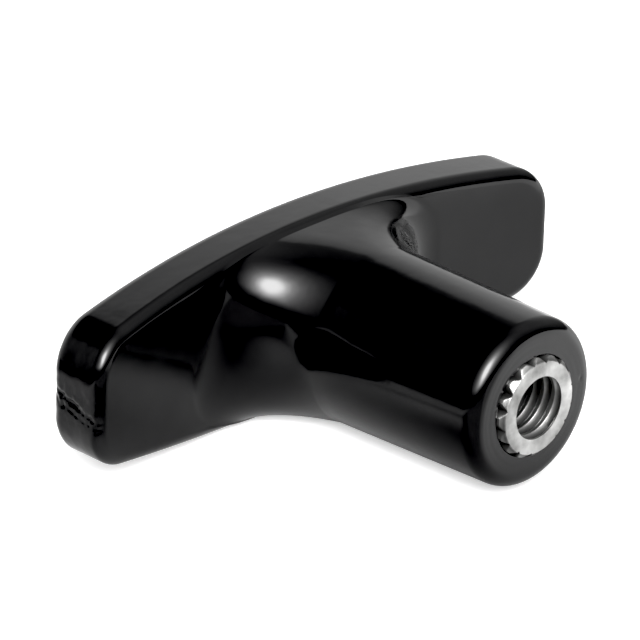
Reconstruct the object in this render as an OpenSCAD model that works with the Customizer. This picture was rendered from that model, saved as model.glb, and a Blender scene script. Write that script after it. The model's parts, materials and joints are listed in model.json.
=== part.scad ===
// Wing nut: a moulded tee handle on a knurled, threaded metal insert.
// X runs along the wings and Y along the thread, away from its mouth.
// The origin is the middle of the thread's mouth, on the insert's seating face.

/* [Wings] */
// Length of the wings, tip to tip
wing_span = 65; // [56:0.5:80]
// Height of the wings at the middle
wing_height = 19.7; // [19.2:0.1:24]
// Height of the wings at the tips, before the corners are rounded
tip_height = 13.1; // [11.5:0.1:16]
// Thickness of the wings at the middle
wing_thickness = 5.9; // [4.5:0.1:9]
// Thickness of the wings at the tips
tip_thickness = 6.7; // [4.5:0.1:9]
// How far the back face falls towards the hub at the tips
wing_bow = 1.8; // [0:0.1:4]
// Radius of the four corners of the wings' outline
corner_r = 5.3; // [3:0.1:5.5]
// Radius of the wings' long edges
edge_r = 1.3; // [0.5:0.1:2]

/* [Hub] */
// Diameter of the hub's free end
hub_end_d = 17.5; // [15:0.1:18.5]
// Diameter of the hub where it reaches the wings
hub_root_d = 18.8; // [15:0.1:19]
// Length of the hub, from its free end to the wings
hub_length = 29.8; // [24:0.1:45]
// Radius of the rim of the hub's free end
hub_rim_r = 1.6; // [0.5:0.1:2.5]
// Radius of the sweep from the hub's sides into the wings
flare_r = 8.5; // [5:0.1:10]
// Squareness of the flare where it reaches the wings, 2 being an ellipse
flare_squareness = 3.8; // [2:0.1:5]

/* [Insert] */
// Diameter of the insert over its knurl
insert_d = 10.5; // [9.6:0.1:12]
// Length of the insert
insert_length = 19; // [18:0.5:24]
// How far the insert stands proud of the hub's free end
insert_proud = 0.7; // [0:0.1:1.5]
// Number of grooves in the knurl
knurl_count = 16; // [12:1:24]
// Depth of the knurl's grooves
knurl_depth = 0.65; // [0.3:0.05:0.7]
// Chamfer on the knurl at both ends
knurl_chamfer = 0.45; // [0.2:0.05:0.6]
// Depth to which the grooves stay open below the hub's free end
open_groove_depth = 1; // [0.5:0.1:2]

/* [Thread] */
// Drill diameter of the tapped hole, 6.53 being right for 5/16-18 UNC
tap_drill_d = 6.53; // [5:0.01:6.8]
// Depth of the tapped hole, without the drill's point
thread_depth = 15; // [8:0.5:15.5]

/* [Hidden] */

round_fn = 96;

half_span = wing_span / 2;
hub_face_y = insert_proud;
wing_front_y = hub_face_y + hub_length;
wing_back_y = wing_front_y + wing_thickness;

// Outline of the wings: a shallow arc above, the same below, square tips and round corners.
arc_rise = (wing_height - tip_height) / 2;
arc_r = (half_span * half_span + arc_rise * arc_rise) / (2 * arc_rise);
arc_z = wing_height / 2 - arc_r;
corner_x = half_span - corner_r;
corner_z = arc_z + sqrt(pow(arc_r - corner_r, 2) - pow(corner_x, 2));
corner_end = atan2(corner_z - arc_z, corner_x);
corner_steps = 5;
arc_steps = 11;

// One point of the outline is [x, z, normal x, normal z].
function on_corner(a) = [corner_x + corner_r * cos(a), corner_z + corner_r * sin(a), cos(a), sin(a)];
function on_arc(a) = [arc_r * cos(a), arc_z + arc_r * sin(a), cos(a), sin(a)];
quarter = concat(
    [for (i = [0 : corner_steps]) on_corner(corner_end * i / corner_steps)],
    [for (i = [1 : arc_steps]) on_arc(corner_end + (90 - corner_end) * i / (arc_steps + 0.5))]
);
last = len(quarter) - 1;

// Copies a quarter of a ring to the other three, anticlockwise. No point lies on either axis,
// so the wings and the hub lie on a flat, and don't rock on a corner.
function all_round(q) = concat(
    q,
    [for (i = [0 : last]) let (p = q[last - i]) [-p[0], p[1], -p[2], p[3]]],
    [for (i = [0 : last]) let (p = q[i]) [-p[0], -p[1], -p[2], -p[3]]],
    [for (i = [0 : last]) let (p = q[last - i]) [p[0], -p[1], p[2], -p[3]]]
);
outline = all_round(quarter);
ring_size = len(outline);

// Front and back faces of the wings, which bow towards the hub at the tips.
function back_y(x) = wing_back_y - wing_bow * pow(x / half_span, 2);
function front_y(x) =
    back_y(x) - wing_thickness - (tip_thickness - wing_thickness) * pow(x / half_span, 2);

// The hub's cone, and the sweep that carries its sides into the wings.
cone_slope = (hub_root_d - hub_end_d) / 2 / (hub_length - hub_rim_r);
function cone_r(y) = hub_end_d / 2 + cone_slope * (y - hub_face_y - hub_rim_r);
flare_start_y = wing_front_y - flare_r;
flare_centre_x = cone_r(flare_start_y) + flare_r;
foot_half_w = flare_centre_x;
foot_half_h = cone_r(wing_front_y);

// A rounded box of half width a and half height b, which is an ellipse where n is 2.
function box_x(a, n, t) = a * sign(cos(t)) * pow(abs(cos(t)), 2 / n);
function box_z(b, n, t) = b * sign(sin(t)) * pow(abs(sin(t)), 2 / n);
function foot_top(x) =
    let (part = 1 - pow(min(abs(x) / foot_half_w, 1), flare_squareness))
    foot_half_h * pow(part, 1 / flare_squareness);

// The moulding's skin is a stack of rings, from the hub's end face to the wings' back.
function turn(i) = 360 * (i + 0.5) / ring_size;
function rim_ring(a) =
    let (r = hub_end_d / 2 - hub_rim_r * (1 - sin(a)), y = hub_face_y + hub_rim_r * (1 - cos(a)))
    [for (i = [0 : ring_size - 1]) [r * cos(turn(i)), y, r * sin(turn(i))]];
function flare_ring(s) =
    let (n = 2 + (flare_squareness - 2) * s, y = flare_start_y + flare_r * sin(90 * s))
    let (half_w = flare_centre_x - flare_r * cos(90 * s))
    [for (i = [0 : ring_size - 1])
        let (x = box_x(half_w, n, turn(i)), z = box_z(cone_r(y), n, turn(i)))
        [x, y + (front_y(x) - wing_front_y) * s * s, z]];

// The front edge starts its curve where the hub's top leaves it room.
crease = 0.15;
function free_inset(p) =
    abs(p[0]) < foot_half_w ? min(edge_r, abs(p[1]) - foot_top(p[0]) - crease) : edge_r;
function front_start(p) = asin(1 - free_inset(p) / edge_r);
function front_edge(s) = [
    for (p = outline)
    let (a = front_start(p) + (90 - front_start(p)) * s, inset = edge_r * (1 - sin(a)))
    let (x = p[0] - inset * p[2], z = p[1] - inset * p[3])
    [x, front_y(x) + edge_r * (1 - cos(a)), z]
];
function back_edge(s) = [
    for (p = outline)
    let (a = 90 * (1 - s), inset = edge_r * (1 - sin(a)))
    let (x = p[0] - inset * p[2], z = p[1] - inset * p[3])
    [x, back_y(x) - edge_r * (1 - cos(a)), z]
];
foot = flare_ring(1);
edge_start = front_edge(0);
function front_face(s) = [
    for (i = [0 : ring_size - 1])
    let (p = foot[i] + (edge_start[i] - foot[i]) * s)
    let (sink = (edge_start[i][1] - front_y(edge_start[i][0])) * s)
    [p[0], front_y(p[0]) + sink, p[2]]
];

rim_steps = 5;
flare_steps = 7;
face_steps = 3;
edge_steps = 4;
skin = concat(
    [for (k = [0 : rim_steps]) rim_ring(90 * k / rim_steps)],
    [for (k = [0 : flare_steps]) flare_ring(k / flare_steps)],
    [for (k = [1 : face_steps]) front_face(k / face_steps)],
    [for (k = [1 : edge_steps]) front_edge(k / edge_steps)],
    [for (k = [0 : edge_steps]) back_edge(k / edge_steps)]
);

// Walls between one ring and the next.
walls = [
    for (k = [0 : len(skin) - 2], i = [0 : ring_size - 1])
    let (j = (i + 1) % ring_size)
    [k * ring_size + i, k * ring_size + j, (k + 1) * ring_size + j, (k + 1) * ring_size + i]
];
// The hub's end face is flat; the wings' back bends only along X, so upright strips close it.
end_face = [for (i = [ring_size - 1 : -1 : 0]) i];
back_first = (len(skin) - 1) * ring_size;
back_strips = [
    for (i = [0 : ring_size / 2 - 2])
    [for (n = [i, i + 1, ring_size - i - 2, ring_size - i - 1]) back_first + n]
];

// The insert: a knurled bar, whose grooves the moulding fills.
insert_r = insert_d / 2;
knurl_root_r = insert_r - knurl_depth;
groove_share = 0.72;
groove_half_w = groove_share * PI * insert_r / knurl_count;
drill_point_half_angle = 59;

// Turns a solid that was drawn along +Z to lie along +Y.
module along_y() {
    rotate([-90, 0, 0]) children();
}

module moulding() {
    polyhedron([for (ring = skin) each ring], concat([end_face], walls, back_strips));
}

// Outer shape of the insert, without its thread.
module knurled_bar() {
    along_y() difference() {
        rotate_extrude($fn = round_fn) polygon([
            [0, 0],
            [insert_r - knurl_chamfer, 0],
            [insert_r, knurl_chamfer],
            [insert_r, insert_length - knurl_chamfer],
            [insert_r - knurl_chamfer, insert_length],
            [0, insert_length]
        ]);
        for (i = [0 : knurl_count - 1]) rotate(360 * (i + 0.5) / knurl_count)
            translate([0, 0, -1]) linear_extrude(insert_length + 2) polygon([
                [knurl_root_r, 0],
                [2 * insert_r - knurl_root_r, -2 * groove_half_w],
                [2 * insert_r - knurl_root_r, 2 * groove_half_w]
            ]);
    }
}

module tapped_hole() {
    drill_r = tap_drill_d / 2;
    along_y() rotate_extrude($fn = round_fn) polygon([
        [0, -1],
        [drill_r, -1],
        [drill_r, thread_depth],
        [0, thread_depth + drill_r / tan(drill_point_half_angle)]
    ]);
}

// Hub and wings in one moulding, with the room that the insert takes up.
module handle() {
    color([0.03, 0.03, 0.035]) difference() {
        moulding();
        knurled_bar();
        along_y() cylinder(h = hub_face_y + open_groove_depth, r = insert_r, $fn = round_fn);
    }
}

// Metal bush with the internal thread.
module threaded_insert() {
    color([0.78, 0.78, 0.77]) difference() {
        knurled_bar();
        tapped_hole();
    }
}

handle();
threaded_insert();
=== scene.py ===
"""Wing nut: a glossy black tee handle moulded on a knurled steel insert with a tapped hole.

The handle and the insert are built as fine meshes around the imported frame. X runs along the
wings, Y along the thread, away from its mouth, and Z is up. Sizes are in millimetres until a
mesh is made. Materials, lights and the camera are in metres, as Blender's scene is.
"""

import json
import math

import bmesh
import bpy
import numpy as np
from mathutils import Matrix, Vector
from mathutils.noise import turbulence


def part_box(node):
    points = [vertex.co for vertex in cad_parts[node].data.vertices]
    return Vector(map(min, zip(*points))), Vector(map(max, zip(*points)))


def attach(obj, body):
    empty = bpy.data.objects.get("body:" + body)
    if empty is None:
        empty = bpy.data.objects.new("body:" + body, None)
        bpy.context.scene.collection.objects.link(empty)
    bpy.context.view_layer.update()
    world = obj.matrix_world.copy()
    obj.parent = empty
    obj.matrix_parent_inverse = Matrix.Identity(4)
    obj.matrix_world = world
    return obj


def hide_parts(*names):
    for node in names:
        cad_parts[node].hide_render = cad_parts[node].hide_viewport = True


MM = 0.001
INCH = 25.4

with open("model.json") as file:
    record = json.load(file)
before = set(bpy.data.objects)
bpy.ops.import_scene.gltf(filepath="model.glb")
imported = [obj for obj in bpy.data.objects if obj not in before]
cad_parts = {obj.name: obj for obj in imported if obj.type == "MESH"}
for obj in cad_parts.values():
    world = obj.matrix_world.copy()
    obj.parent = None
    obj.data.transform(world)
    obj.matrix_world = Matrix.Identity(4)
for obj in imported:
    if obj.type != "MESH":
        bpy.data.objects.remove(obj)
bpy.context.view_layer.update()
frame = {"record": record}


# ---------------------------------------------------------------- sizes

def box_mm(node):
    """Lowest and highest corner of a CAD node in millimetres."""
    low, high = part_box(node)
    return np.array(low) / MM, np.array(high) / MM


handle_low, handle_high = box_mm("handle")
insert_high = box_mm("threaded_insert")[1]
thread_mount = next(m for m in frame["record"]["mounts"] if m["name"] == "thread")

HALF_SPAN = handle_high[0]
HALF_HEIGHT = handle_high[2]
HUB_FACE_Y = handle_low[1]
WING_BACK_Y = handle_high[1]
INSERT_R = insert_high[0]
INSERT_LENGTH = insert_high[1]
THREAD_CREST_R = thread_mount["dims"]["r_mm"]
THREAD_DEPTH = thread_mount["dims"]["length_mm"]

# Wings
TIP_HALF_HEIGHT = 6.55
WING_THICKNESS = 5.9
TIP_THICKNESS = 6.7
WING_BOW = 1.8
CORNER_R = 5.3
EDGE_R = 1.3
WING_FRONT_Y = WING_BACK_Y - WING_THICKNESS

# Hub, with the sweep that carries its sides into the wings
HUB_END_R = 8.75
HUB_ROOT_R = 9.4
HUB_RIM_R = 1.6
HUB_LENGTH = WING_FRONT_Y - HUB_FACE_Y
HUB_FLAT_R = HUB_END_R - HUB_RIM_R
FLARE_R = 8.5
FLARE_SQUARENESS = 3.8
FOOT_CREASE = 0.15

# Faint rings on the hub's end face, and a small knock at this x and z
RIPPLE_DEPTH = 0.006
RIPPLE_COUNT = 2.5
RIPPLE_FADE = 0.5
NICK_X, NICK_Z = 6.75, 0.75
NICK_WIDTH, NICK_HEIGHT = 0.2, 0.28
NICK_DEPTH = 0.05

# Insert, with the open pocket around its front
KNURL_COUNT = 16
KNURL_ROOT_R = 4.6
KNURL_GROOVE_SHARE = 0.72
KNURL_CHAMFER = 0.45
POCKET_CLEARANCE = 0.03
POCKET_DEPTH = 1.0
POCKET_R = INSERT_R + POCKET_CLEARANCE
POCKET_Y = HUB_FACE_Y + POCKET_DEPTH
POCKET_LIP_R = 0.08
DRILL_POINT_HALF_ANGLE = math.radians(59)

# How uneven the knurl is, and the steps in angle from groove to groove that vary it
KNURL_UNEVEN = 0.07
KNURL_SHIFT_STEP, KNURL_SHIFT_START = 2.4, 1.0
KNURL_DEPTH_STEP = 1.7

# Thread, 5/16-18 UNC, right-handed; the floor of its groove is an eighth of the pitch wide
THREAD_PITCH = INCH / 18
THREAD_ROOT_R = INCH * 5 / 16 / 2
THREAD_ROOT_HALF_W = THREAD_PITCH / 8 / 2
FLANK_SLOPE = math.tan(math.radians(30))
GROOVE_START_Y = 0.47
GROOVE_START_TURN = math.radians(-25)
LEAD_IN = 0.7


# ---------------------------------------------------------------- mesh helpers

MERGE_DIST = 0.002 * MM
DEGENERATE_DIST = 0.001 * MM


def spread(start, end, count):
    """count + 1 values from start to end."""
    return np.linspace(start, end, count + 1)


def grid_faces(rows, columns, shift):
    """Quads between rings of points; shift is how many rows the last column is from the first."""
    faces = []
    for j in range(rows - 1):
        for i in range(columns):
            k = (i + 1) % columns
            step = shift if k == 0 else 0
            near, far = j + step, j + 1 + step
            if 0 <= near and far < rows:
                this, next_up = j * columns + i, (j + 1) * columns + i
                faces.append((this, near * columns + k, far * columns + k, next_up))
    return faces


def mesh_object(name, parts, sharp_angle):
    """One closed object from grids of points, smooth but for edges sharper than an angle.

    parts is [(points in mm, shift)].
    """
    mesh = bpy.data.meshes.new(name)
    built = bmesh.new()
    for points, shift in parts:
        rows, columns = points.shape[:2]
        verts = [built.verts.new(p) for p in points.reshape(-1, 3) * MM]
        for face in grid_faces(rows, columns, shift):
            built.faces.new([verts[n] for n in face])
    bmesh.ops.remove_doubles(built, verts=built.verts, dist=MERGE_DIST)
    bmesh.ops.dissolve_degenerate(built, edges=built.edges, dist=DEGENERATE_DIST)
    bmesh.ops.recalc_face_normals(built, faces=built.faces)
    for face in built.faces:
        face.smooth = True
    built.to_mesh(mesh)
    built.free()
    mesh.set_sharp_from_angle(angle=sharp_angle)
    made = bpy.data.objects.new(name, mesh)
    bpy.context.scene.collection.objects.link(made)
    return made


# ---------------------------------------------------------------- handle

ARC_RISE = HALF_HEIGHT - TIP_HALF_HEIGHT
ARC_R = (HALF_SPAN ** 2 + ARC_RISE ** 2) / (2 * ARC_RISE)
ARC_Z = HALF_HEIGHT - ARC_R
CORNER_X = HALF_SPAN - CORNER_R
CORNER_Z = ARC_Z + math.sqrt((ARC_R - CORNER_R) ** 2 - CORNER_X ** 2)
CORNER_END = math.atan2(CORNER_Z - ARC_Z, CORNER_X)

# Steps on a quarter of the outline, and steps from ring to ring on the moulding's skin
TIP_STEPS, CORNER_STEPS, ARC_STEPS = 16, 36, 60
LIP_STEPS, END_FACE_STEPS, RIM_STEPS, CONE_STEPS, FLARE_STEPS = 4, 24, 14, 14, 44
EDGE_STEPS, SIDE_STEPS = 10, 28
# Rings as shares of the way over a stretch, closer together where it ends at an edge
CAVITY_END_AT = (0.0, 0.5, 0.98, 1.0)
LEDGE_AT = (0.1, 0.9, 1.0)
FRONT_FACE_AT = (0.02, 0.06, 0.12, 0.2, 0.3, 0.4, 0.5, 0.6, 0.7, 0.8, 0.88, 0.94, 0.98, 1.0)
BACK_FACE_AT = (0.03, 0.1, 0.2, 0.35, 0.5, 0.65, 0.8, 0.9, 1.0)
# A ring this close to an edge keeps the shading beside it flat
HOLD = 0.05
HANDLE_SHARP = math.radians(50)


def outline_arc(x, z, r, angles):
    """An arc of the wings' outline round x, z, as rows of x, z, normal x and normal z."""
    normal_x, normal_z = np.cos(angles), np.sin(angles)
    return np.stack([x + r * normal_x, z + r * normal_z, normal_x, normal_z], 1)


def wing_outline():
    """Outline of the wings seen along the thread, as rows of x, z, normal x and normal z."""
    tip_z = spread(0, CORNER_Z, TIP_STEPS)[:-1]
    zero = np.zeros_like(tip_z)
    tip = np.stack([HALF_SPAN + zero, tip_z, 1 + zero, zero], 1)
    corner = outline_arc(CORNER_X, CORNER_Z, CORNER_R, spread(0, CORNER_END, CORNER_STEPS)[:-1])
    arc = outline_arc(0, ARC_Z, ARC_R, spread(CORNER_END, math.pi / 2, ARC_STEPS))
    quarter = np.concatenate([tip, corner, arc])
    upper_left = quarter[-2::-1] * [-1, 1, -1, 1]
    upper = np.concatenate([quarter, upper_left])
    lower = upper[1:-1] * [-1, -1, -1, -1]
    return np.concatenate([upper, lower])


OUTLINE = wing_outline()
OUTLINE_X, OUTLINE_Z, NORMAL_X, NORMAL_Z = OUTLINE.T
TURN = 2 * math.pi * np.arange(len(OUTLINE)) / len(OUTLINE)


def back_y(x):
    """The wings' back face, which bows towards the hub at the tips."""
    return WING_BACK_Y - WING_BOW * (x / HALF_SPAN) ** 2


def front_y(x):
    """The wings' front face; the wings are thickest at the tips."""
    return back_y(x) - WING_THICKNESS - (TIP_THICKNESS - WING_THICKNESS) * (x / HALF_SPAN) ** 2


def cone_r(y):
    """Radius of the hub's cone."""
    slope = (HUB_ROOT_R - HUB_END_R) / (HUB_LENGTH - HUB_RIM_R)
    return HUB_END_R + slope * (y - HUB_FACE_Y - HUB_RIM_R)


FLARE_START_Y = WING_FRONT_Y - FLARE_R
FOOT_HALF_W = cone_r(FLARE_START_Y) + FLARE_R
FOOT_HALF_H = cone_r(WING_FRONT_Y)


def ring_points(x, y, z):
    """A ring of points; y is one number or one for each point."""
    return np.stack([x, np.broadcast_to(y, x.shape), z], 1)


def round_ring(r, y):
    """A round ring of the handle; r and y are one number or one for each point."""
    return ring_points(r * np.cos(TURN), y, r * np.sin(TURN))


def signed_power(value, power):
    """A power that keeps the sign."""
    return np.sign(value) * np.abs(value) ** power


def flare_ring(s):
    """A ring of the sweep, from the round hub, where s is 0, to its foot on the wings, at 1."""
    n = 2 + (FLARE_SQUARENESS - 2) * s
    a = s * math.pi / 2
    y = FLARE_START_Y + FLARE_R * math.sin(a)
    x = (FOOT_HALF_W - FLARE_R * math.cos(a)) * signed_power(np.cos(TURN), 2 / n)
    z = cone_r(y) * signed_power(np.sin(TURN), 2 / n)
    return ring_points(x, y + (front_y(x) - WING_FRONT_Y) * s * s, z)


def foot_top(x):
    """Height of the foot of the sweep above the middle of the wings."""
    part = 1 - np.minimum(np.abs(x) / FOOT_HALF_W, 1) ** FLARE_SQUARENESS
    return FOOT_HALF_H * part ** (1 / FLARE_SQUARENESS)


def edge_ring(a, front):
    """A ring on the rounded edge of the wings; a is the angle from their face to their outline."""
    inset = EDGE_R * (1 - np.sin(a))
    fall = EDGE_R * (1 - np.cos(a))
    x = OUTLINE_X - inset * NORMAL_X
    z = OUTLINE_Z - inset * NORMAL_Z
    y = front_y(x) + fall if front else back_y(x) - fall
    return ring_points(x, y, z)


def front_edge_start():
    """Angle where the front edge starts, which is later where the hub's top leaves little room."""
    room = np.abs(OUTLINE_Z) - foot_top(OUTLINE_X) - FOOT_CREASE
    beside_hub = np.abs(OUTLINE_X) < FOOT_HALF_W
    inset = np.where(beside_hub, np.minimum(EDGE_R, room), EDGE_R)
    return np.arcsin(1 - inset / EDGE_R)


def end_face_ripple(r):
    """Very shallow rings on the end face, fading out at its borders."""
    part = (r - POCKET_R) / (HUB_FLAT_R - POCKET_R)
    inside = math.sin(math.pi * min(max(part, 0), 1)) ** RIPPLE_FADE
    return RIPPLE_DEPTH * inside * (0.5 - 0.5 * math.cos(part * 2 * math.pi * RIPPLE_COUNT))


def nick(ring):
    """A small knock in the end face, near its rim."""
    across = (ring[:, 0] - NICK_X) / NICK_WIDTH
    along = (ring[:, 2] - NICK_Z) / NICK_HEIGHT
    sink = NICK_DEPTH * np.exp(-(across ** 2 + along ** 2))
    return np.stack([0 * sink, sink, 0 * sink], 1)


def cavity_rings():
    """Rings of the room that the insert fills, ribbed where its grooves are, and the pocket."""
    room_r = knurl_r(TURN)
    rings = [round_ring(room_r * s, INSERT_LENGTH) for s in CAVITY_END_AT]
    for y in (INSERT_LENGTH - HOLD, POCKET_Y + HOLD, POCKET_Y):
        rings.append(round_ring(room_r, y))
    for s in LEDGE_AT:
        rings.append(round_ring(room_r + (POCKET_R - room_r) * s, POCKET_Y))
    for y in (POCKET_Y - HOLD, HUB_FACE_Y + 2 * POCKET_LIP_R, HUB_FACE_Y + POCKET_LIP_R):
        rings.append(round_ring(POCKET_R, y))
    for a in spread(0, math.pi / 2, LIP_STEPS)[1:]:
        r = POCKET_R + POCKET_LIP_R * (1 - math.cos(a))
        rings.append(round_ring(r, HUB_FACE_Y + POCKET_LIP_R * (1 - math.sin(a))))
    return rings


def hub_rings():
    """Rings of the hub's end face, its rim, its cone and the sweep."""
    rings = []
    for r in spread(POCKET_R + 2 * POCKET_LIP_R, HUB_FLAT_R, END_FACE_STEPS):
        ring = round_ring(r, HUB_FACE_Y + end_face_ripple(r))
        rings.append(ring + nick(ring))
    for a in spread(0, math.pi / 2, RIM_STEPS)[1:]:
        r = HUB_FLAT_R + HUB_RIM_R * math.sin(a)
        rings.append(round_ring(r, HUB_FACE_Y + HUB_RIM_R * (1 - math.cos(a))))
    for y in spread(HUB_FACE_Y + HUB_RIM_R, FLARE_START_Y, CONE_STEPS)[1:-1]:
        rings.append(round_ring(cone_r(y), y))
    for s in spread(0, 1, FLARE_STEPS):
        rings.append(flare_ring(s))
    return rings


def wing_rings():
    """Rings of the wings' front, both edges with the side between them, and the back."""
    rings = []
    start = front_edge_start()
    foot, edge = flare_ring(1), edge_ring(start, True)
    sink = edge[:, 1] - front_y(edge[:, 0])
    for s in FRONT_FACE_AT:
        p = foot + (edge - foot) * s
        rings.append(ring_points(p[:, 0], front_y(p[:, 0]) + sink * s, p[:, 2]))
    for s in spread(0, 1, EDGE_STEPS)[1:]:
        rings.append(edge_ring(start + (math.pi / 2 - start) * s, True))
    front, back = rings[-1], edge_ring(math.pi / 2, False)
    for s in spread(0, 1, SIDE_STEPS)[1:]:
        rings.append(front + (back - front) * s)
    for a in spread(math.pi / 2, 0, EDGE_STEPS)[1:]:
        rings.append(edge_ring(a, False))
    edge = rings[-1]
    spine_end = HALF_SPAN - TIP_HALF_HEIGHT
    spine_x = np.clip(edge[:, 0], -spine_end, spine_end)
    for s in BACK_FACE_AT:
        x = edge[:, 0] + (spine_x - edge[:, 0]) * s
        rings.append(ring_points(x, back_y(x), edge[:, 2] * (1 - s)))
    return rings


# The tip at -X, where flash was trimmed: slightly wavy, with two ragged tears across it.
# A roughness is (scale, seed).
TIP_REACH = 4.0
TIP_WAVE_DEPTH = 0.11
TIP_WAVE = (0.42, 9.0)
SCAR_FRONT_Y, SCAR_FRONT_Z = 28.0, -1.4
SCAR_BACK_Y, SCAR_BACK_Z = 33.6, 0.45
SCAR_REACH_X, SCAR_FADE_X = 1.4, 1.2
SCAR_REACH_Z, SCAR_FADE_Z = 3.04, 1.9
SCAR_COARSE_DEPTH, SCAR_COARSE = 0.05, (0.9, 4.0)
SCAR_FINE_DEPTH, SCAR_FINE = 0.03, (2.6, 7.0)
SCAR_MEAN_DEPTH = 0.03
TEAR_DEPTH = 0.24
TEAR_HALF_W = 0.34
TEAR_GAP = 0.8
TEAR_SHARES = (1.0, 0.75)
TEAR_WANDER, TEAR_WANDER_SCALE, TEAR_WANDER_SEED = 0.25, 0.8, 1.0
TEAR_MEAN, TEAR_SWING, TEAR_LEAST = 0.6, 1.1, 0.3
TEAR_SWING_SCALE, TEAR_SWING_SEED = 1.3, 2.5
TEAR_STRETCH = 0.5
OCTAVES = 3


def rough(y, z, scale, seed):
    """Smooth noise around 0 over the wings' tip."""
    places = [Vector((a * scale, b * scale, seed)) for a, b in zip(y, z)]
    return np.array([turbulence(place, OCTAVES, False) for place in places])


def scar_depth(y, z):
    """Depth of the two ragged tears and of the torn surface around them."""
    slope = (SCAR_BACK_Z - SCAR_FRONT_Z) / (SCAR_BACK_Y - SCAR_FRONT_Y)
    middle = SCAR_FRONT_Z + slope * (y - SCAR_FRONT_Y)
    depth = SCAR_COARSE_DEPTH * rough(y, z, *SCAR_COARSE)
    depth = depth + SCAR_FINE_DEPTH * rough(y, z, *SCAR_FINE) + SCAR_MEAN_DEPTH
    for k, share in enumerate(TEAR_SHARES):
        wander = TEAR_WANDER * rough(y, 0 * z, TEAR_WANDER_SCALE, TEAR_WANDER_SEED + k)
        off = z - middle + k * TEAR_GAP + wander
        swing = TEAR_SWING * rough(y, TEAR_STRETCH * z, TEAR_SWING_SCALE, TEAR_SWING_SEED + k)
        strength = np.clip(TEAR_MEAN + swing, TEAR_LEAST, 1.0) * share
        depth = depth + TEAR_DEPTH * strength * np.exp(-(off / TEAR_HALF_W) ** 2)
    return np.maximum(depth, 0)


def trim_tip(rings):
    """Sinks the scar and the waviness into the tip at -X, fading out away from it."""
    flat = rings.reshape(-1, 3)
    near = flat[:, 0] < TIP_REACH - HALF_SPAN
    x, y, z = flat[near].T
    middle_z = (SCAR_FRONT_Z + SCAR_BACK_Z) / 2
    along_z = np.clip((SCAR_REACH_Z - np.abs(z - middle_z)) / SCAR_FADE_Z, 0, 1)
    along_x = np.clip((SCAR_REACH_X - HALF_SPAN - x) / SCAR_FADE_X, 0, 1)
    wave = TIP_WAVE_DEPTH * (0.5 + 0.5 * rough(y, z, *TIP_WAVE))
    wave = wave * np.clip((TIP_REACH - HALF_SPAN - x) / TIP_REACH, 0, 1)
    flat[near, 0] = x + scar_depth(y, z) * along_z * along_x + wave
    return rings


def build_handle():
    """The whole moulding, from the bottom of its cavity round to the middle of its back."""
    rings = np.array(cavity_rings() + hub_rings() + wing_rings())
    return mesh_object("moulded_handle", [(trim_tip(rings), 0)], HANDLE_SHARP)


# ---------------------------------------------------------------- insert

COLUMNS_PER_GROOVE = 16
COLUMNS = KNURL_COUNT * COLUMNS_PER_GROOVE
THETA = 2 * math.pi * np.arange(COLUMNS) / COLUMNS
CHAMFER_STEPS, POINT_STEPS = 12, 8
FACE_AT = (0.04, 0.2, 0.4, 0.6, 0.8, 0.96, 1.0)
REAR_AT = (0.97, 0.5, 0.0)
KNURL_RINGS_Y = (0.5, 0.8, 1.2, 1.7, 3.0, 5.0, 8.0, 11.0, 14.0, 17.0)
# Rows this far on each side of the thread's corners keep them crisp, as does a ring at its end
THREAD_CORNER = 0.03
THREAD_END = 0.02
# Turns more than the thread's depth takes, so that its rows reach past both ends
EXTRA_TURNS = 3
INSERT_SHARP = math.radians(28)


def polar(r, y):
    """A ring of the insert; r and y are one number or one for each column."""
    r = np.broadcast_to(r, THETA.shape)
    return np.stack([r * np.cos(THETA), np.broadcast_to(y, THETA.shape), r * np.sin(THETA)], 1)


def knurl_r(theta):
    """Radius of the knurl: V grooves, a little uneven, with small flats between them."""
    turn = theta * KNURL_COUNT / (2 * math.pi)
    groove = np.floor(turn)
    middle = 0.5 + KNURL_UNEVEN * np.sin(KNURL_SHIFT_STEP * groove + KNURL_SHIFT_START)
    rise = np.minimum(np.abs(turn - groove - middle) / (KNURL_GROOVE_SHARE / 2), 1)
    shallower = 2 * KNURL_UNEVEN * (1 + np.sin(KNURL_DEPTH_STEP * groove))
    depth = (INSERT_R - KNURL_ROOT_R) * (1 - shallower)
    return INSERT_R - depth * (1 - rise)


def thread_r(theta, y):
    """Radius of the internal thread's wall, which starts without its groove at the mouth."""
    groove_y = GROOVE_START_Y - THREAD_PITCH * (theta - GROOVE_START_TURN) / (2 * math.pi)
    turn = (y - groove_y) / THREAD_PITCH
    off = np.abs(turn - np.round(turn)) * THREAD_PITCH
    rise = (off - THREAD_ROOT_HALF_W) / FLANK_SLOPE
    wall = np.clip(THREAD_ROOT_R - np.maximum(rise, 0), THREAD_CREST_R, THREAD_ROOT_R)
    lead_in = np.clip(y / LEAD_IN, 0, 1)
    return THREAD_CREST_R + (wall - THREAD_CREST_R) * lead_in * lead_in * (3 - 2 * lead_in)


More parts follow.
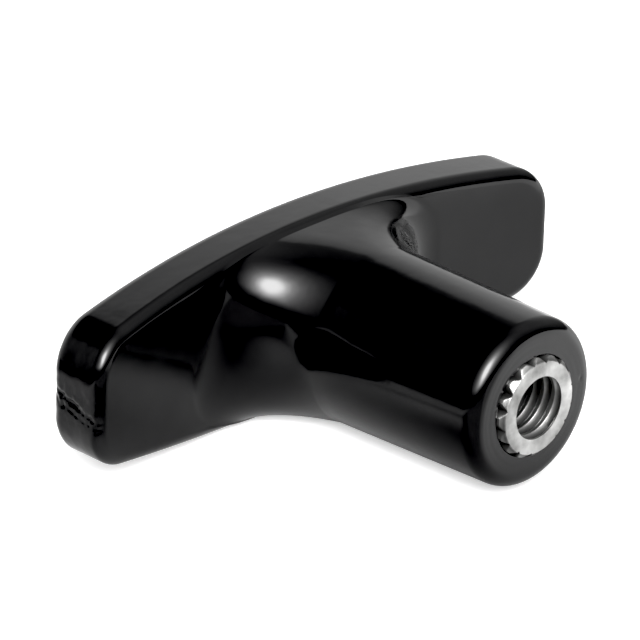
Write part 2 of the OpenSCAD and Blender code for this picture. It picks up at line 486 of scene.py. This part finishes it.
def thread_grid():
    """The thread's wall as rows that follow the helix, cut off flat at the mouth and at its end."""
    root_edge = THREAD_ROOT_HALF_W
    crest_edge = root_edge + (THREAD_ROOT_R - THREAD_CREST_R) * FLANK_SLOPE
    root = [root_edge - THREAD_CORNER, root_edge + THREAD_CORNER]
    crest = [crest_edge - THREAD_CORNER, crest_edge + THREAD_CORNER]
    half = [*root, (root_edge + crest_edge) / 2, *crest]
    marks = np.array([-m for m in reversed(half)] + half + [THREAD_PITCH / 2])
    turns = math.ceil(THREAD_DEPTH / THREAD_PITCH) + EXTRA_TURNS
    first = GROOVE_START_Y + THREAD_PITCH * GROOVE_START_TURN / (2 * math.pi) - THREAD_PITCH
    starts = np.concatenate([first + k * THREAD_PITCH + marks for k in range(turns)])
    y = starts[:, None] - THREAD_PITCH * THETA[None, :] / (2 * math.pi)
    y = np.clip(y, 0, THREAD_DEPTH)
    r = thread_r(THETA[None, :], y)
    points = np.stack([r * np.cos(THETA), y, r * np.sin(THETA)], 2)
    return points, -len(marks)


def insert_outside():
    """Rings from the thread's mouth over the front face and the knurl to the middle of the rear."""
    mouth = thread_r(THETA, 0.0)
    knurl = knurl_r(THETA)
    face_r = INSERT_R - KNURL_CHAMFER
    outer = np.minimum(knurl, face_r)
    rings = [polar(mouth, 0.0)]
    for s in FACE_AT:
        rings.append(polar(mouth + (outer - mouth) * s, 0.0))
    for depth in spread(0, KNURL_CHAMFER, CHAMFER_STEPS)[1:]:
        rings.append(polar(np.minimum(knurl, face_r + depth), depth))
    for y in (*KNURL_RINGS_Y, INSERT_LENGTH - KNURL_CHAMFER):
        rings.append(polar(knurl, y))
    for depth in spread(KNURL_CHAMFER, 0, CHAMFER_STEPS)[1:]:
        rings.append(polar(np.minimum(knurl, face_r + depth), INSERT_LENGTH - depth))
    for s in REAR_AT:
        rings.append(polar(outer * s, INSERT_LENGTH))
    return np.array(rings)


def hole_bottom():
    """Rings from the end of the thread to the point that the drill left."""
    end = thread_r(THETA, THREAD_DEPTH)
    point_length = THREAD_CREST_R / math.tan(DRILL_POINT_HALF_ANGLE)
    rings = [polar(end, THREAD_DEPTH), polar(THREAD_CREST_R - THREAD_END, THREAD_DEPTH)]
    for s in spread(0, 1, POINT_STEPS)[1:]:
        rings.append(polar(THREAD_CREST_R * (1 - s), THREAD_DEPTH + point_length * s))
    return np.array(rings)


def build_insert():
    """The knurled bush with its threaded hole."""
    parts = [(insert_outside(), 0), thread_grid(), (hole_bottom(), 0)]
    return mesh_object("knurled_insert", parts, INSERT_SHARP)


# ---------------------------------------------------------------- nodes

class Graph:
    """A tree of shader nodes. Most methods add a node and give its output."""

    def __init__(self, tree):
        self.tree = tree

    def node(self, kind, **settings):
        """Adds a node with these settings, and gives the node itself."""
        made = self.tree.nodes.new(kind)
        for name, value in settings.items():
            setattr(made, name, value)
        return made

    def feed(self, socket, value):
        """Links an output to a socket, or sets the socket to a number or a vector."""
        if isinstance(value, bpy.types.NodeSocket):
            self.tree.links.new(value, socket)
        else:
            socket.default_value = value

    def coords(self, kind):
        return self.node("ShaderNodeTexCoord").outputs[kind]

    def split(self, vector, axis):
        made = self.node("ShaderNodeSeparateXYZ")
        self.feed(made.inputs["Vector"], vector)
        return made.outputs[axis]

    def calc(self, operation, first, second):
        made = self.node("ShaderNodeMath", operation=operation)
        self.feed(made.inputs[0], first)
        self.feed(made.inputs[1], second)
        return made.outputs["Value"]

    def vector(self, operation, *values, output="Vector"):
        made = self.node("ShaderNodeVectorMath", operation=operation)
        for socket, value in zip(made.inputs, values):
            self.feed(socket, value)
        return made.outputs[output]

    def measure(self, operation, *values):
        """A Vector Math node whose result is a number."""
        return self.vector(operation, *values, output="Value")

    def noise(self, coords, scale, detail, roughness):
        made = self.node("ShaderNodeTexNoise")
        self.feed(made.inputs["Vector"], coords)
        self.feed(made.inputs["Scale"], scale)
        self.feed(made.inputs["Detail"], detail)
        self.feed(made.inputs["Roughness"], roughness)
        return made.outputs["Fac"]

    def ramp(self, value, steps):
        """Maps a value from 0 to 1 through steps, each (value, grey tone or colour)."""
        made = self.node("ShaderNodeValToRGB")
        elements = made.color_ramp.elements
        # The ramp starts with two elements; new ones start halfway, and then all are placed
        while len(elements) < len(steps):
            elements.new(0.5)
        for element, (place, tone) in zip(elements, steps):
            element.position = place
            element.color = (*tone, 1.0) if isinstance(tone, tuple) else (tone, tone, tone, 1.0)
        self.feed(made.inputs["Fac"], value)
        return made.outputs["Color"]

    def step(self, value, start, end, low=0.0):
        """A smooth step from low, at start, to 1, at end."""
        made = self.node("ShaderNodeMapRange", interpolation_type="SMOOTHSTEP")
        self.feed(made.inputs["Value"], value)
        self.feed(made.inputs["From Min"], start)
        self.feed(made.inputs["From Max"], end)
        self.feed(made.inputs["To Min"], low)
        return made.outputs["Result"]

    def tinted(self, colour, tone):
        """A colour multiplied by a tone."""
        made = self.node("ShaderNodeMix", data_type="RGBA", blend_type="MULTIPLY")
        self.feed(made.inputs["Factor"], 1.0)
        self.feed(made.inputs["A"], colour)
        self.feed(made.inputs["B"], tone)
        return made.outputs["Result"]

    def bump(self, height, strength, distance, under=None):
        """A bump, on top of another one if under is given."""
        made = self.node("ShaderNodeBump")
        self.feed(made.inputs["Height"], height)
        self.feed(made.inputs["Strength"], strength)
        self.feed(made.inputs["Distance"], distance)
        if under is not None:
            self.feed(made.inputs["Normal"], under)
        return made.outputs["Normal"]


def new_material(name):
    """A node material, its graph and the sockets of its Principled shader."""
    made = bpy.data.materials.new(name)
    made.use_nodes = True
    return made, Graph(made.node_tree), made.node_tree.nodes["Principled BSDF"].inputs


# ---------------------------------------------------------------- materials

# A noise is (scale, detail, roughness) and a bump is (strength, distance in metres).
PLASTIC_TINT_NOISE = (260.0, 4.0, 0.5)
PLASTIC_TINT = [(0.3, (0.0012, 0.0012, 0.0014)), (0.7, (0.0026, 0.0026, 0.0028))]
PLASTIC_RUB_NOISE = (420.0, 6.0, 0.65)
PLASTIC_RUB = [(0.3, 0.06), (0.7, 0.13)]
PLASTIC_WAVE_NOISE = (170.0, 3.0, 0.5)
PLASTIC_WAVE = (0.4, 0.00012)
PLASTIC_PEEL_NOISE = (1500.0, 3.0, 0.5)
PLASTIC_PEEL = (0.12, 0.00001)
PLASTIC_IOR = 1.5


def phenolic():
    """Glossy black moulded plastic: a near-mirror skin with a slow waviness and fine rub marks."""
    made, graph, shader = new_material("black_phenolic")
    coords = graph.coords("Object")
    tint = graph.ramp(graph.noise(coords, *PLASTIC_TINT_NOISE), PLASTIC_TINT)
    rub = graph.ramp(graph.noise(coords, *PLASTIC_RUB_NOISE), PLASTIC_RUB)
    wave = graph.bump(graph.noise(coords, *PLASTIC_WAVE_NOISE), *PLASTIC_WAVE)
    peel = graph.bump(graph.noise(coords, *PLASTIC_PEEL_NOISE), *PLASTIC_PEEL, under=wave)
    graph.feed(shader["Base Color"], tint)
    graph.feed(shader["Roughness"], rub)
    graph.feed(shader["Normal"], peel)
    graph.feed(shader["IOR"], PLASTIC_IOR)
    return made


STEEL_BLOTCH_NOISE = (340.0, 5.0, 0.55)
STEEL_TINT = [(0.3, (0.24, 0.24, 0.235)), (0.7, (0.72, 0.72, 0.71))]
STEEL_DULLNESS = [(0.3, 0.5), (0.7, 0.36)]
STEEL_LINES_NOISE = (9000.0, 3.0, 0.6)
STEEL_LINES = (0.3, 0.00001)
STEEL_DENTS_NOISE = (2400.0, 3.0, 0.5)
STEEL_DENTS = (0.3, 0.00002)
ACROSS_THREAD = (1.0, 0.0, 1.0)
# Painted shade, as a factor on the metal's colour from 0 to 1, by radius and by depth, which are
# both in centimetres: darker at the roots of the thread and the knurl and deeper in the hole, none
# on the front face
PER_CM = 100.0
PAINTED_SHADE_BY_RADIUS = [
    (0.3, 0.8), (0.33, 0.85), (0.35, 0.5), (0.39, 0.1), (0.4, 0.8),
    (0.44, 0.6), (0.46, 0.16), (0.49, 0.5), (0.52, 1.0),
]
PAINTED_SHADE_OFF_FACE = [(0.004, 1.0), (0.02, 0.0)]
PAINTED_SHADE_BY_DEPTH = [(0.0, 1.0), (0.1, 0.95), (0.35, 0.75), (0.8, 0.25)]


def plated_steel():
    """Plated steel, dull from handling, with turning lines, blotches and painted shade in its
    grooves and deep in its hole.
    """
    made, graph, shader = new_material("plated_steel")
    coords = graph.coords("Object")
    radius = graph.measure("LENGTH", graph.vector("MULTIPLY", coords, ACROSS_THREAD))
    depth = graph.split(coords, "Y")
    section = graph.node("ShaderNodeCombineXYZ")
    graph.feed(section.inputs["X"], radius)
    graph.feed(section.inputs["Y"], depth)
    lines = graph.noise(section.outputs["Vector"], *STEEL_LINES_NOISE)
    turned = graph.bump(lines, *STEEL_LINES)
    dents = graph.bump(graph.noise(coords, *STEEL_DENTS_NOISE), *STEEL_DENTS, under=turned)

    # Painted shade: the colour is darkened at the roots of the thread and the knurl and deeper in
    # the hole, but not on the front face
    radius_cm = graph.calc("MULTIPLY", radius, PER_CM)
    depth_cm = graph.calc("MULTIPLY", depth, PER_CM)
    by_radius = graph.ramp(radius_cm, PAINTED_SHADE_BY_RADIUS)
    raised = graph.calc("MAXIMUM", by_radius, graph.ramp(depth_cm, PAINTED_SHADE_OFF_FACE))
    painted_shade_factor = graph.calc("MULTIPLY", raised, graph.ramp(depth_cm, PAINTED_SHADE_BY_DEPTH))
    blotch = graph.noise(coords, *STEEL_BLOTCH_NOISE)
    graph.feed(shader["Base Color"], graph.tinted(graph.ramp(blotch, STEEL_TINT), painted_shade_factor))
    graph.feed(shader["Roughness"], graph.ramp(blotch, STEEL_DULLNESS))
    graph.feed(shader["Normal"], dents)
    graph.feed(shader["Metallic"], 1.0)
    return made


# ---------------------------------------------------------------- floor and card

PLANE_HALF = 4.0
FLOOR_Z = handle_low[2] * MM
FLOOR_NOISE = (30.0, 4.0, 0.5)
FLOOR_TONE = [(0.3, 0.86), (0.7, 0.88)]
FLOOR_ROUGHNESS = 0.9
FLOOR_SPECULAR = 0.1
FLOOR_GLOW = 0.42
WHITE = (1.0, 1.0, 1.0, 1.0)

# The card lies just above the floor. Its colour goes from dark to pale across it.
CARD_LIFT = 0.02
CARD_Z = (handle_low[2] + CARD_LIFT) * MM
CARD_ACROSS = (0.86, 0.51, 0.0)
CARD_DARK_AT, CARD_PALE_AT = -0.016, 0.016
CARD_TONE = [(0.0, 0.004), (1.0, 0.47)]
# It glows before the hub, less at -X, in a band behind the wings, and in a spot by the tip at -X.
CARD_GLOW = 0.6
CARD_FORWARD = (0.0, -1.0, 0.0)
CARD_GLOW_START, CARD_GLOW_END = -0.003, 0.011
CARD_SIDEWAYS = (1.0, 0.0, 0.0)
CARD_LEFT_AT, CARD_RIGHT_AT, CARD_LEFT_GLOW = -0.007, 0.001, 0.28
CARD_OUTWARD = (-2.0, 12.0, 0.0)
CARD_BAND = [(0.34, 0.0), (0.5, 1.0), (0.72, 1.0), (0.9, 0.0)]
CARD_SPOT = (-0.032, 0.023, CARD_Z)
CARD_SPOT_R = 0.0195


def floor_material():
    """A plain pale surface, lit a little from within so that it stays pale around the object."""
    made, graph, shader = new_material("pale_floor")
    paper = graph.noise(graph.coords("Object"), *FLOOR_NOISE)
    graph.feed(shader["Base Color"], graph.ramp(paper, FLOOR_TONE))
    graph.feed(shader["Roughness"], FLOOR_ROUGHNESS)
    graph.feed(shader["Specular IOR Level"], FLOOR_SPECULAR)
    graph.feed(shader["Emission Color"], WHITE)
    graph.feed(shader["Emission Strength"], FLOOR_GLOW)
    return made


def card_material():
    """The card that the gloss mirrors: darker towards -X, and lit in three soft places."""
    made, graph, shader = new_material("mirrored_card")
    coords = graph.coords("Object")
    across = graph.measure("DOT_PRODUCT", coords, CARD_ACROSS)
    tone = graph.ramp(graph.step(across, CARD_DARK_AT, CARD_PALE_AT), CARD_TONE)
    forward = graph.measure("DOT_PRODUCT", coords, CARD_FORWARD)
    sideways = graph.measure("DOT_PRODUCT", coords, CARD_SIDEWAYS)
    ahead = graph.step(forward, CARD_GLOW_START, CARD_GLOW_END)
    beside = graph.step(sideways, CARD_LEFT_AT, CARD_RIGHT_AT, CARD_LEFT_GLOW)
    glow = graph.calc("MULTIPLY", ahead, beside)
    band = graph.ramp(graph.measure("DOT_PRODUCT", coords, CARD_OUTWARD), CARD_BAND)
    spot = graph.step(graph.measure("DISTANCE", coords, CARD_SPOT), CARD_SPOT_R, 0.0)
    lit = graph.calc("MAXIMUM", graph.calc("MAXIMUM", glow, band), spot)
    graph.feed(shader["Base Color"], tone)
    graph.feed(shader["Emission Color"], lit)
    graph.feed(shader["Emission Strength"], CARD_GLOW)
    graph.feed(shader["Roughness"], 1.0)
    graph.feed(shader["Specular IOR Level"], 0.0)
    return made


def add_plane(name, z, material):
    """A wide level plane, which isn't part of the object."""
    mesh = bpy.data.meshes.new(name)
    corners = [(-1, -1), (1, -1), (1, 1), (-1, 1)]
    verts = [(x * PLANE_HALF, y * PLANE_HALF, z) for x, y in corners]
    mesh.from_pydata(verts, [], [(0, 1, 2, 3)])
    mesh.materials.append(material)
    made = bpy.data.objects.new(name, mesh)
    bpy.context.scene.collection.objects.link(made)
    return made


def add_floor():
    """The pale floor, and just above it the card that shows only in reflections."""
    floor = add_plane("floor", FLOOR_Z, floor_material())
    floor.visible_glossy = False
    card = add_plane("card", CARD_Z, card_material())
    card.visible_camera = False
    card.visible_diffuse = False
    card.visible_transmission = False
    card.visible_shadow = False


# ---------------------------------------------------------------- lights

# A direction is (azimuth, elevation) in degrees; azimuth 0 is +Y and 90 is +X. Each light's soft
# border is steps from how far a ray faces it, 1 being straight at it, or from how high the ray goes.
WALL_TOWARD = (16.0, 0.0)
WALL_RADIANCE = 1.15
WALL_SIDEWAYS = [
    (0.0, 0.0), (0.26, 0.02), (0.42, 0.1), (0.57, 0.3),
    (0.71, 0.5), (0.82, 0.72), (0.91, 0.92), (0.97, 1.0),
]
WALL_UPWARD = [
    (0.34, 1.0), (0.42, 0.85), (0.5, 0.7), (0.57, 0.57),
    (0.61, 0.44), (0.65, 0.07), (0.73, 0.02), (1.0, 0.01),
]
KEY_TOWARD = (-134.5, 40.0)
KEY_RADIANCE = 19.0
KEY_OUTWARD = [
    (0.5, 0.0), (0.65, 0.01), (0.75, 0.03), (0.83, 0.066),
    (0.89, 0.125), (0.94, 0.26), (0.966, 0.5), (0.99, 1.0),
]
KEY_UPWARD = [(0.24, 0.0), (0.3, 0.3), (0.37, 0.85), (0.44, 1.0)]
FILL_TOWARD = (100.0, 45.0)
FILL_RADIANCE = 0.42
FILL_OUTWARD = [(0.69, 0.0), (0.84, 0.5), (0.95, 1.0)]
LEVEL = (1.0, 1.0, 0.0)
BACKDROP = (0.9, 0.9, 0.9, 1.0)

# An area light in the same quarter lights the floor and casts the shadow on it
PANEL_TOWARD = (-140.0, 38.0)
PANEL_DISTANCE = 1.0
PANEL_WIDTH, PANEL_HEIGHT = 0.48, 0.64
PANEL_POWER = 7.7

TARGET = Vector((-15.124, 15.31, 8.963)) * MM


def direction(azimuth, elevation):
    """Unit vector to a place in the sky."""
    a, e = math.radians(azimuth), math.radians(elevation)
    return Vector((math.sin(a) * math.cos(e), math.cos(a) * math.cos(e), math.sin(e)))


def studio_world():
    """A dark room with a pale wall behind the object, a soft key light and a faint fill.

    Rays straight from the camera see a plain pale backdrop instead.
    """
    world = bpy.data.worlds.new("studio")
    bpy.context.scene.world = world
    world.use_nodes = True
    graph = Graph(world.node_tree)
    nodes = world.node_tree.nodes
    coords = graph.coords("Generated")
    height = graph.split(coords, "Z")
    level = graph.vector("NORMALIZE", graph.vector("MULTIPLY", coords, LEVEL))

    wall_facing = graph.measure("DOT_PRODUCT", level, direction(*WALL_TOWARD))
    sideways = graph.ramp(wall_facing, WALL_SIDEWAYS)
    wall = graph.calc("MULTIPLY", sideways, graph.ramp(height, WALL_UPWARD))
    wall_light = graph.calc("MULTIPLY", wall, WALL_RADIANCE)

    key_facing = graph.measure("DOT_PRODUCT", coords, direction(*KEY_TOWARD))
    outward = graph.ramp(key_facing, KEY_OUTWARD)
    key = graph.calc("MULTIPLY", outward, graph.ramp(height, KEY_UPWARD))
    key_light = graph.calc("MULTIPLY", key, KEY_RADIANCE)

    fill_facing = graph.measure("DOT_PRODUCT", coords, direction(*FILL_TOWARD))
    fill_light = graph.calc("MULTIPLY", graph.ramp(fill_facing, FILL_OUTWARD), FILL_RADIANCE)

    room = nodes["Background"]
    graph.feed(room.inputs["Color"], WHITE)
    lit = graph.calc("ADD", graph.calc("ADD", key_light, wall_light), fill_light)
    graph.feed(room.inputs["Strength"], lit)
    backdrop = graph.node("ShaderNodeBackground")
    graph.feed(backdrop.inputs["Color"], BACKDROP)
    pick = graph.node("ShaderNodeMixShader")
    graph.feed(pick.inputs["Fac"], graph.node("ShaderNodeLightPath").outputs["Is Camera Ray"])
    graph.feed(pick.inputs[1], room.outputs["Background"])
    graph.feed(pick.inputs[2], backdrop.outputs["Background"])
    graph.feed(nodes["World Output"].inputs["Surface"], pick.outputs["Shader"])


def add_key_light():
    """A soft rectangular light that faces the object. The gloss mirrors the world's key instead."""
    data = bpy.data.lights.new("key", "AREA")
    data.shape = "RECTANGLE"
    data.size = PANEL_WIDTH
    data.size_y = PANEL_HEIGHT
    data.energy = PANEL_POWER
    made = bpy.data.objects.new("key", data)
    away = direction(*PANEL_TOWARD)
    made.location = TARGET + away * PANEL_DISTANCE
    made.rotation_mode = "QUATERNION"
    made.rotation_quaternion = away.to_track_quat("Z", "Y")
    made.visible_camera = False
    made.visible_glossy = False
    bpy.context.scene.collection.objects.link(made)


# ---------------------------------------------------------------- camera and view

CAMERA_AZIMUTH = math.radians(-46.786)
CAMERA_ELEVATION = math.radians(25.295)
CAMERA_ROLL = math.radians(1.813)
CAMERA_DISTANCE = 0.6101
LENS = 356.05
SENSOR = 36.0
CLIP_START, CLIP_END = 0.01, 20.0
VIEW_BLACK = (0.01, 0.01, 0.01)
VIEW_WHITE = (0.94, 0.94, 0.94)


def add_camera():
    """The camera, which looks at the target with a long lens; azimuth 0 looks along +Y."""
    data = bpy.data.cameras.new("camera")
    data.lens = LENS
    data.sensor_width = SENSOR
    data.clip_start = CLIP_START
    data.clip_end = CLIP_END
    made = bpy.data.objects.new("camera", data)
    a, e, roll = CAMERA_AZIMUTH, CAMERA_ELEVATION, CAMERA_ROLL
    back = Vector((math.sin(a) * math.cos(e), -math.cos(a) * math.cos(e), math.sin(e)))
    right = Vector((0, 0, 1)).cross(back).normalized()
    up = back.cross(right)
    turned_right = math.cos(roll) * right + math.sin(roll) * up
    turned_up = math.cos(roll) * up - math.sin(roll) * right
    rotation = Matrix((turned_right, turned_up, back)).transposed().to_4x4()
    made.matrix_world = Matrix.Translation(TARGET + back * CAMERA_DISTANCE) @ rotation
    bpy.context.scene.collection.objects.link(made)
    bpy.context.scene.camera = made


def set_view():
    """The standard view transform, with slightly raised black and lowered white points."""
    view = bpy.context.scene.view_settings
    view.view_transform = "Standard"
    view.use_curve_mapping = True
    view.curve_mapping.black_level = VIEW_BLACK
    view.curve_mapping.white_level = VIEW_WHITE
    view.curve_mapping.update()


# ---------------------------------------------------------------- the scene

handle = build_handle()
handle.data.materials.append(phenolic())
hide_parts("handle")
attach(handle, "root")

insert = build_insert()
insert.data.materials.append(plated_steel())
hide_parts("threaded_insert")
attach(insert, "root")

add_floor()
studio_world()
add_key_light()
add_camera()
set_view()
